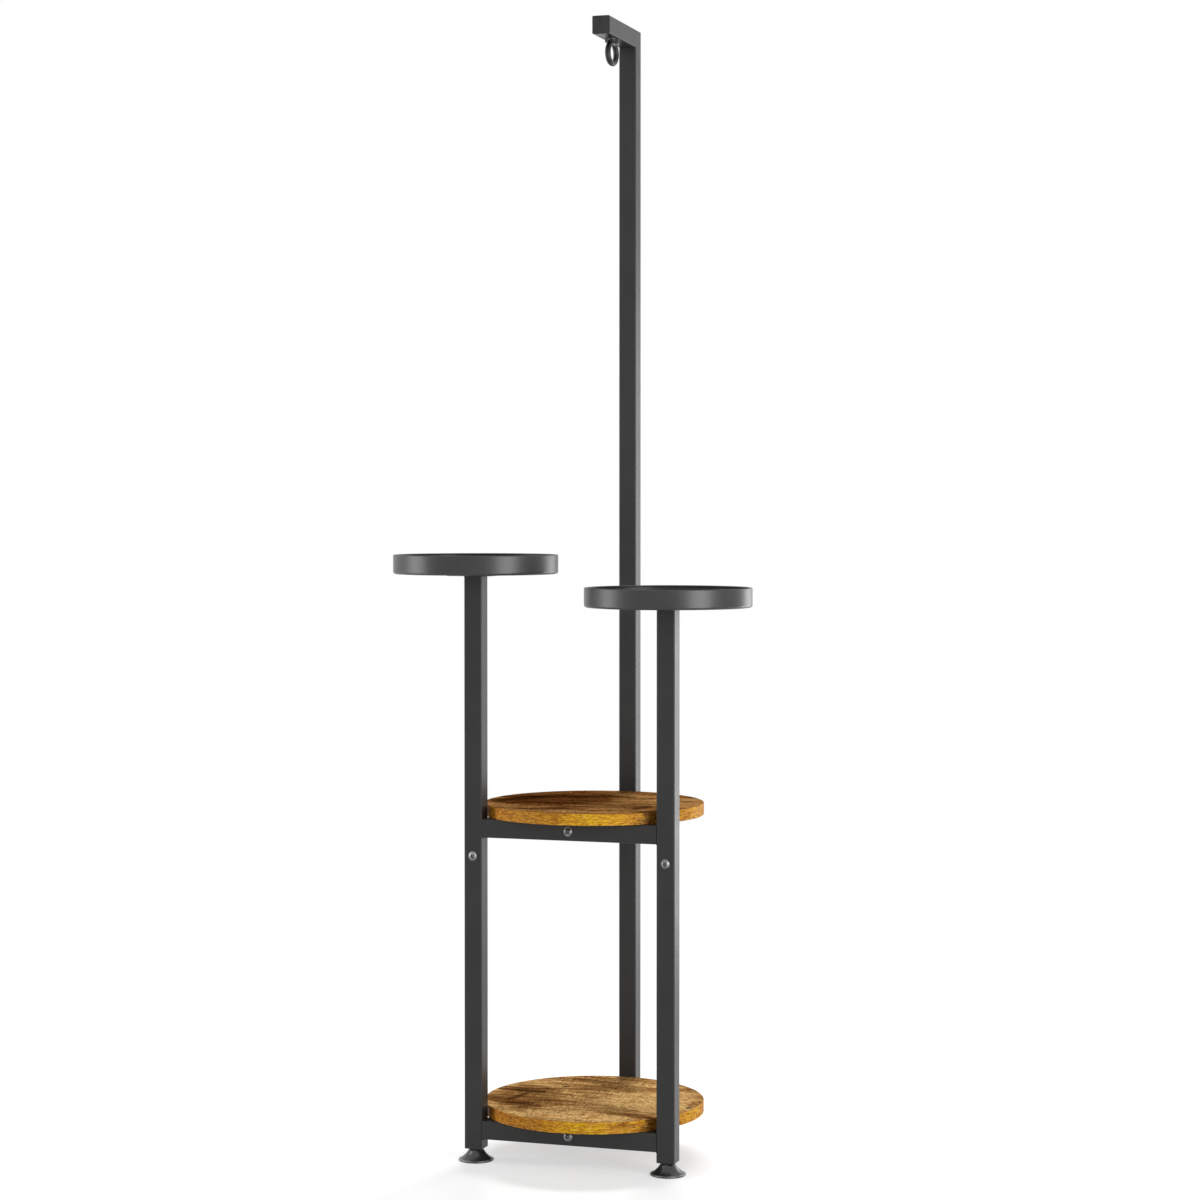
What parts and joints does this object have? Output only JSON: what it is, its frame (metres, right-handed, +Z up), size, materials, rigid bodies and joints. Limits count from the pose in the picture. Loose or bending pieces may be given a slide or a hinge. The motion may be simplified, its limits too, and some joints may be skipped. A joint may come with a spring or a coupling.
{
  "type": "hanging plant stand",
  "caption": "Three-legged square-tube plant stand with round wooden shelves, round metal trays on the front legs and an eye under a short arm on a tall post.",
  "frame": {"origin": "on the floor, under the middle of the stand's outline", "axes": "+Z up, -Y towards the front, where the two short legs stand, +X to the right seen from the front"},
  "size_m": [0.492, 0.398, 1.555],
  "materials": {
    "black_powder_coat": "satin black powder coat",
    "black_tray": "satin black powder coat on sheet steel",
    "black_eye": "black coated forging",
    "zinc_steel": "bright zinc plate",
    "rustic_board": "rustic brown wood grain with lighter edge",
    "foot_plastic": "moulded gloss black",
    "plug_plastic": "moulded matte black"
  },
  "bodies": {
    "stand": {"leg_lower_left": "black_powder_coat", "leg_lower_right": "black_powder_coat", "leg_upper_left": "black_powder_coat", "leg_upper_right": "black_powder_coat", "crossbar_lower": "black_powder_coat", "crossbar_middle": "black_powder_coat", "post_lower": "black_powder_coat", "post_second": "black_powder_coat", "post_third": "black_powder_coat", "post_top": "black_powder_coat", "arm": "black_powder_coat", "arm_end_cap": "plug_plastic", "strut_lower": "black_powder_coat", "strut_middle": "black_powder_coat", "leg_sleeve_left": "zinc_steel", "leg_sleeve_right": "zinc_steel", "post_sleeve_lower": "zinc_steel", "post_sleeve_middle": "zinc_steel", "post_sleeve_upper": "zinc_steel", "strut_plug_lower_front": "zinc_steel", "strut_plug_lower_rear": "zinc_steel", "strut_plug_middle_front": "zinc_steel", "strut_plug_middle_rear": "zinc_steel", "shelf_lower": "rustic_board", "shelf_middle": "rustic_board", "tray_left": "black_tray", "tray_right": "black_tray", "tray_mount_left": "black_powder_coat", "tray_mount_right": "black_powder_coat", "hook_eye": "black_eye", "eye_insert": "zinc_steel", "strut_screws_front": "zinc_steel", "strut_screws_rear": "zinc_steel", "leg_screws": "zinc_steel", "post_screws": "zinc_steel", "tray_screws": "zinc_steel", "shelf_screws": "zinc_steel", "foot_insert_left": "plug_plastic", "foot_insert_right": "plug_plastic", "foot_insert_rear": "plug_plastic"},
    "foot_left_screw": {"foot_stud_left": "zinc_steel"},
    "foot_left_pad": {"foot_base_left": "foot_plastic"},
    "foot_right_screw": {"foot_stud_right": "zinc_steel"},
    "foot_right_pad": {"foot_base_right": "foot_plastic"},
    "foot_rear_screw": {"foot_stud_rear": "zinc_steel"},
    "foot_rear_pad": {"foot_base_rear": "foot_plastic"}
  },
  "joints": [
    {"name": "foot_left_travel", "type": "slide", "parent": "stand", "child": "foot_left_screw", "axis": [0, 0, -1], "range_m": [0, 0.01]},
    {"name": "foot_left_turn", "type": "hinge", "parent": "foot_left_screw", "child": "foot_left_pad", "pos_m": [-0.135, -0.08797, 0], "axis": [0, 0, -1], "range_deg": [0, 2880]},
    {"name": "foot_right_travel", "type": "slide", "parent": "stand", "child": "foot_right_screw", "axis": [0, 0, -1], "range_m": [0, 0.01]},
    {"name": "foot_right_turn", "type": "hinge", "parent": "foot_right_screw", "child": "foot_right_pad", "pos_m": [0.135, -0.08797, 0], "axis": [0, 0, -1], "range_deg": [0, 2880]},
    {"name": "foot_rear_travel", "type": "slide", "parent": "stand", "child": "foot_rear_screw", "axis": [0, 0, -1], "range_m": [0, 0.01]},
    {"name": "foot_rear_turn", "type": "hinge", "parent": "foot_rear_screw", "child": "foot_rear_pad", "pos_m": [0, 0.17497, 0], "axis": [0, 0, -1], "range_deg": [0, 2880]}
  ],
  "couplings": [
    {"joint": "foot_left_travel", "follows": "foot_left_turn", "m_per_rad": 0.00019894},
    {"joint": "foot_right_travel", "follows": "foot_right_turn", "m_per_rad": 0.00019894},
    {"joint": "foot_rear_travel", "follows": "foot_rear_turn", "m_per_rad": 0.00019894}
  ]
}
